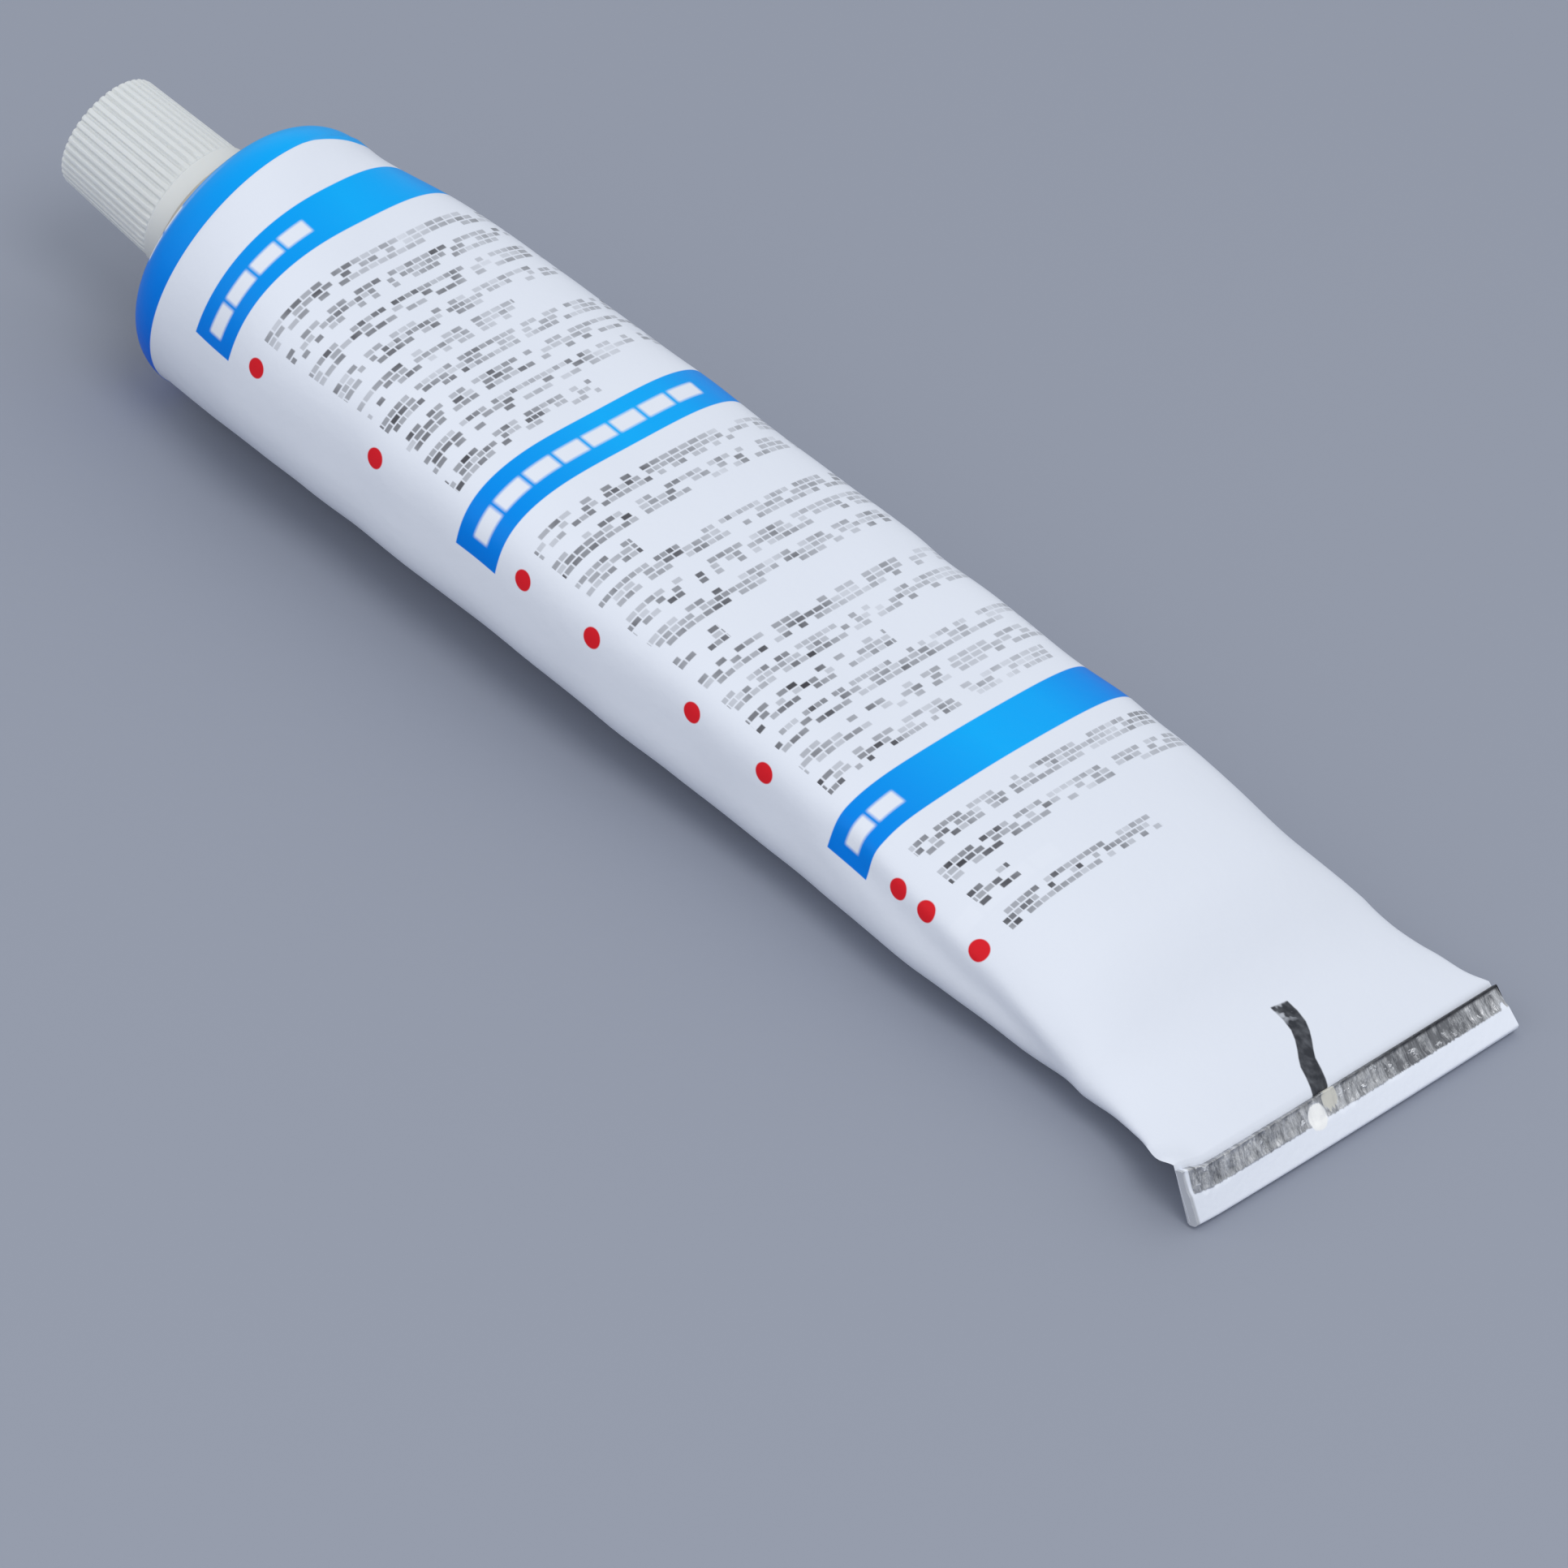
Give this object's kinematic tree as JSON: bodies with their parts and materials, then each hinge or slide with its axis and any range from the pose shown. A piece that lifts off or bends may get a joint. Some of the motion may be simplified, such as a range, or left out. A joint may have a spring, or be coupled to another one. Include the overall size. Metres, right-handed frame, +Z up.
{
  "type": "silicone adhesive tube",
  "caption": "Aluminium collapsible tube of silicone adhesive, lying filled and sealed, with folded crimped tail and ribbed screw cap on a threaded neck.",
  "frame": {"origin": "centre of the bounding box, on the table under the lying tube", "axes": "+X along the tube from the cap to the folded tail, +Y across it, +Z up from the table"},
  "size_m": [0.1668, 0.0472, 0.0297],
  "materials": {
    "tube": "semi-gloss white lacquer with blue ring and bars, bare aluminium at the folded tail",
    "cap": "milky moulded polyethylene"
  },
  "bodies": {
    "tube": {"tube": "tube"},
    "cap": {"cap": "cap"}
  },
  "joints": [
    {"name": "cap_off", "type": "slide", "parent": "tube", "child": "cap", "axis": [-0.9903, 0, 0.1392], "range_m": [0, 0.025]}
  ]
}
